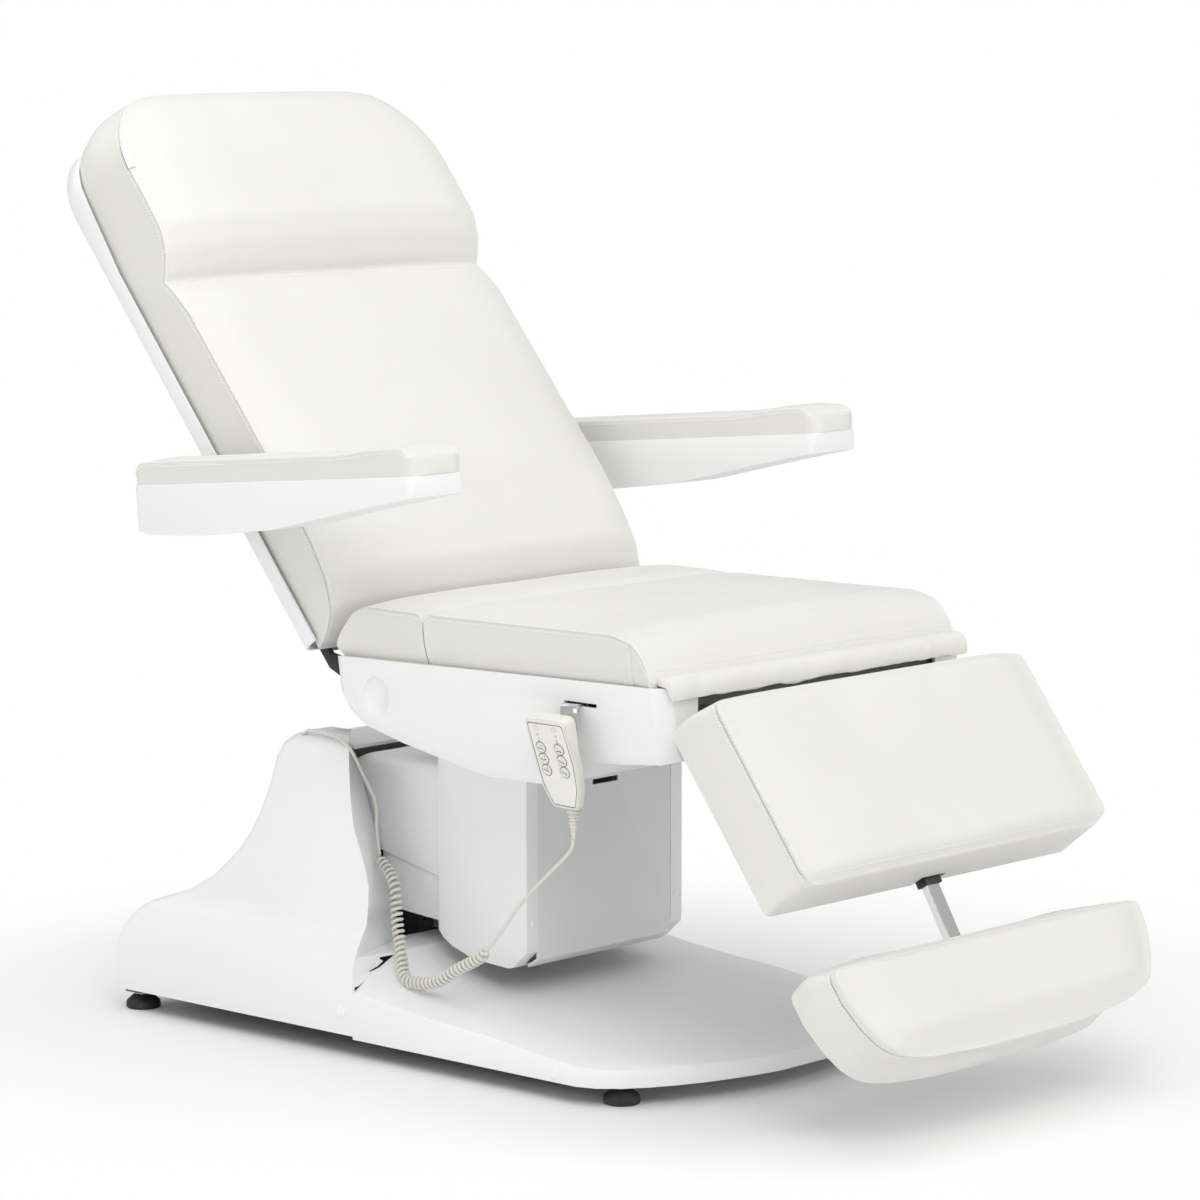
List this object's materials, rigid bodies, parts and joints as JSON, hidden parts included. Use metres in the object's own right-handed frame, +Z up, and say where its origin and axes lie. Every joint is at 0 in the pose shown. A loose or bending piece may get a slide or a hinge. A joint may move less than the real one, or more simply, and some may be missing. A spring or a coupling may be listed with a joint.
{
  "type": "pedicure treatment chair",
  "caption": "Electric pedicure and treatment chair on a parallel-arm lift, with tilting backrest, leg rest, pull-out footrest, swing-up armrests and a corded handset.",
  "frame": {"origin": "on the floor, under the middle of the chair's length and width without its cord", "axes": "+X from the rear of the base towards the foot end, +Y to the sitter's left, +Z up"},
  "size_m": [1.4569, 0.863, 1.2408],
  "materials": {
    "upholstery": "off-white artificial leather over foam, fine grain, satin",
    "white_plastic": "white moulded plastic, satin gloss",
    "grey_metal": "dark grey powder coat",
    "chrome": "bright chrome plate",
    "steel": "ground steel",
    "black_plastic": "black, matt",
    "black_rubber": "black rubber",
    "light_plastic": "off-white moulded plastic, matt",
    "plywood": "birch plywood, bare"
  },
  "bodies": {
    "base": {"base_frame": "grey_metal", "foot_pads": "black_rubber", "foot_studs": "steel", "rear_cover": "white_plastic", "front_cover": "white_plastic", "cover_caps": "white_plastic", "arm_shafts": "steel", "control_box": "black_plastic", "mains_inlet": "black_plastic", "cord_gland": "light_plastic", "cord_tail": "light_plastic", "cord_coil": "light_plastic", "lift_motor": "black_plastic"},
    "lower_arm_set": {"lower_arm": "grey_metal", "lower_arm_cover": "white_plastic"},
    "upper_arm_set": {"upper_arm": "grey_metal", "upper_arm_cover": "white_plastic"},
    "lift_push_rod": {"lift_rod": "steel"},
    "carriage": {"carriage_frame": "grey_metal", "box_cover": "white_plastic", "box_panel": "white_plastic", "panel_caps": "white_plastic", "seat_frame": "grey_metal", "seat_board": "plywood", "seat_shell": "white_plastic", "rear_seat_cushion": "upholstery", "seat_cushion": "upholstery", "rear_flap": "upholstery", "front_flap": "upholstery", "handset_hook": "chrome", "back_motor": "black_plastic", "leg_motor": "black_plastic"},
    "backrest": {"back_frame": "grey_metal", "back_shell": "white_plastic", "back_cushion": "upholstery"},
    "back_push_rod": {"back_rod": "steel"},
    "left_armrest": {"left_arm_shell": "white_plastic", "left_arm_pad": "upholstery"},
    "right_armrest": {"right_arm_shell": "white_plastic", "right_arm_pad": "upholstery"},
    "leg_rest": {"leg_frame": "grey_metal", "leg_cushion": "upholstery", "bar_sleeve": "black_plastic"},
    "leg_push_rod": {"leg_rod": "steel"},
    "footrest": {"foot_bar": "chrome", "foot_board": "white_plastic", "foot_cushion": "upholstery"},
    "handset": {"handset_case": "light_plastic", "handset_face": "light_plastic", "strain_relief": "light_plastic", "cord_lead": "light_plastic"},
    "back_up_button_cap": {"back_up_button": "light_plastic"},
    "back_down_button_cap": {"back_down_button": "light_plastic"},
    "leg_up_button_cap": {"leg_up_button": "light_plastic"},
    "leg_down_button_cap": {"leg_down_button": "light_plastic"},
    "lift_up_button_cap": {"lift_up_button": "light_plastic"},
    "lift_down_button_cap": {"lift_down_button": "light_plastic"},
    "memory_one_button_cap": {"memory_one_button": "light_plastic"},
    "memory_two_button_cap": {"memory_two_button": "light_plastic"}
  },
  "joints": [
    {"name": "lift", "type": "hinge", "parent": "base", "child": "lower_arm_set", "pos_m": [-0.27029, 0, 0.238], "axis": [0, -1, 0], "range_deg": [0, 62.6]},
    {"name": "upper_arm_swing", "type": "hinge", "parent": "base", "child": "upper_arm_set", "pos_m": [-0.27029, 0, 0.333], "axis": [0, -1, 0], "range_deg": [0, 62.6]},
    {"name": "lift_push", "type": "slide", "parent": "base", "child": "lift_push_rod", "axis": [1, 0, 0], "range_m": [0, 0.0834]},
    {"name": "carriage_level", "type": "hinge", "parent": "lower_arm_set", "child": "carriage", "pos_m": [-0.0146, 0, 0.18085], "axis": [0, -1, 0], "range_deg": [-62.6, 0]},
    {"name": "backrest_tilt", "type": "hinge", "parent": "carriage", "child": "backrest", "pos_m": [-0.1623, 0, 0.5], "axis": [0, -1, 0], "range_deg": [-12, 51]},
    {"name": "back_push", "type": "slide", "parent": "carriage", "child": "back_push_rod", "axis": [1, 0, 0], "range_m": [-0.0123, 0.0517]},
    {"name": "left_armrest_swing", "type": "hinge", "parent": "backrest", "child": "left_armrest", "pos_m": [-0.36904, 0.34, 0.71481], "axis": [0, -1, 0], "range_deg": [0, 120]},
    {"name": "right_armrest_swing", "type": "hinge", "parent": "backrest", "child": "right_armrest", "pos_m": [-0.36904, -0.34, 0.71481], "axis": [0, -1, 0], "range_deg": [0, 120]},
    {"name": "leg_rest_tilt", "type": "hinge", "parent": "carriage", "child": "leg_rest", "pos_m": [0.3957, 0, 0.5], "axis": [0, -1, 0], "range_deg": [-3, 53.7]},
    {"name": "leg_push", "type": "slide", "parent": "carriage", "child": "leg_push_rod", "axis": [1, 0, 0], "range_m": [-0.0032, 0.0542]},
    {"name": "footrest_pull", "type": "slide", "parent": "leg_rest", "child": "footrest", "axis": [0.5, 0, -0.866], "range_m": [-0.06, 0.05]},
    {"name": "handset_lift", "type": "slide", "parent": "carriage", "child": "handset", "axis": [0, 0, 1], "range_m": [0, 0.012]},
    {"name": "back_up_button_press", "type": "slide", "parent": "handset", "child": "back_up_button_cap", "axis": [0, 0.9397, 0.342], "range_m": [0, 0.0008], "stiffness_N_per_m": 500, "springref_m": -0.0005},
    {"name": "back_down_button_press", "type": "slide", "parent": "handset", "child": "back_down_button_cap", "axis": [0, 0.9397, 0.342], "range_m": [0, 0.0008], "stiffness_N_per_m": 500, "springref_m": -0.0005},
    {"name": "leg_up_button_press", "type": "slide", "parent": "handset", "child": "leg_up_button_cap", "axis": [0, 0.9397, 0.342], "range_m": [0, 0.0008], "stiffness_N_per_m": 500, "springref_m": -0.0005},
    {"name": "leg_down_button_press", "type": "slide", "parent": "handset", "child": "leg_down_button_cap", "axis": [0, 0.9397, 0.342], "range_m": [0, 0.0008], "stiffness_N_per_m": 500, "springref_m": -0.0005},
    {"name": "lift_up_button_press", "type": "slide", "parent": "handset", "child": "lift_up_button_cap", "axis": [0, 0.9397, 0.342], "range_m": [0, 0.0008], "stiffness_N_per_m": 500, "springref_m": -0.0005},
    {"name": "lift_down_button_press", "type": "slide", "parent": "handset", "child": "lift_down_button_cap", "axis": [0, 0.9397, 0.342], "range_m": [0, 0.0008], "stiffness_N_per_m": 500, "springref_m": -0.0005},
    {"name": "memory_one_button_press", "type": "slide", "parent": "handset", "child": "memory_one_button_cap", "axis": [0, 0.9397, 0.342], "range_m": [0, 0.0008], "stiffness_N_per_m": 500, "springref_m": -0.0005},
    {"name": "memory_two_button_press", "type": "slide", "parent": "handset", "child": "memory_two_button_cap", "axis": [0, 0.9397, 0.342], "range_m": [0, 0.0008], "stiffness_N_per_m": 500, "springref_m": -0.0005}
  ],
  "couplings": [
    {"joint": "upper_arm_swing", "follows": "lift", "ratio": 1},
    {"joint": "carriage_level", "follows": "lift", "ratio": -1},
    {"joint": "lift_push", "follows": "lift", "m_per_rad": 0.0761},
    {"joint": "back_push", "follows": "backrest_tilt", "m_per_rad": 0.0579},
    {"joint": "leg_push", "follows": "leg_rest_tilt", "m_per_rad": 0.0576}
  ]
}
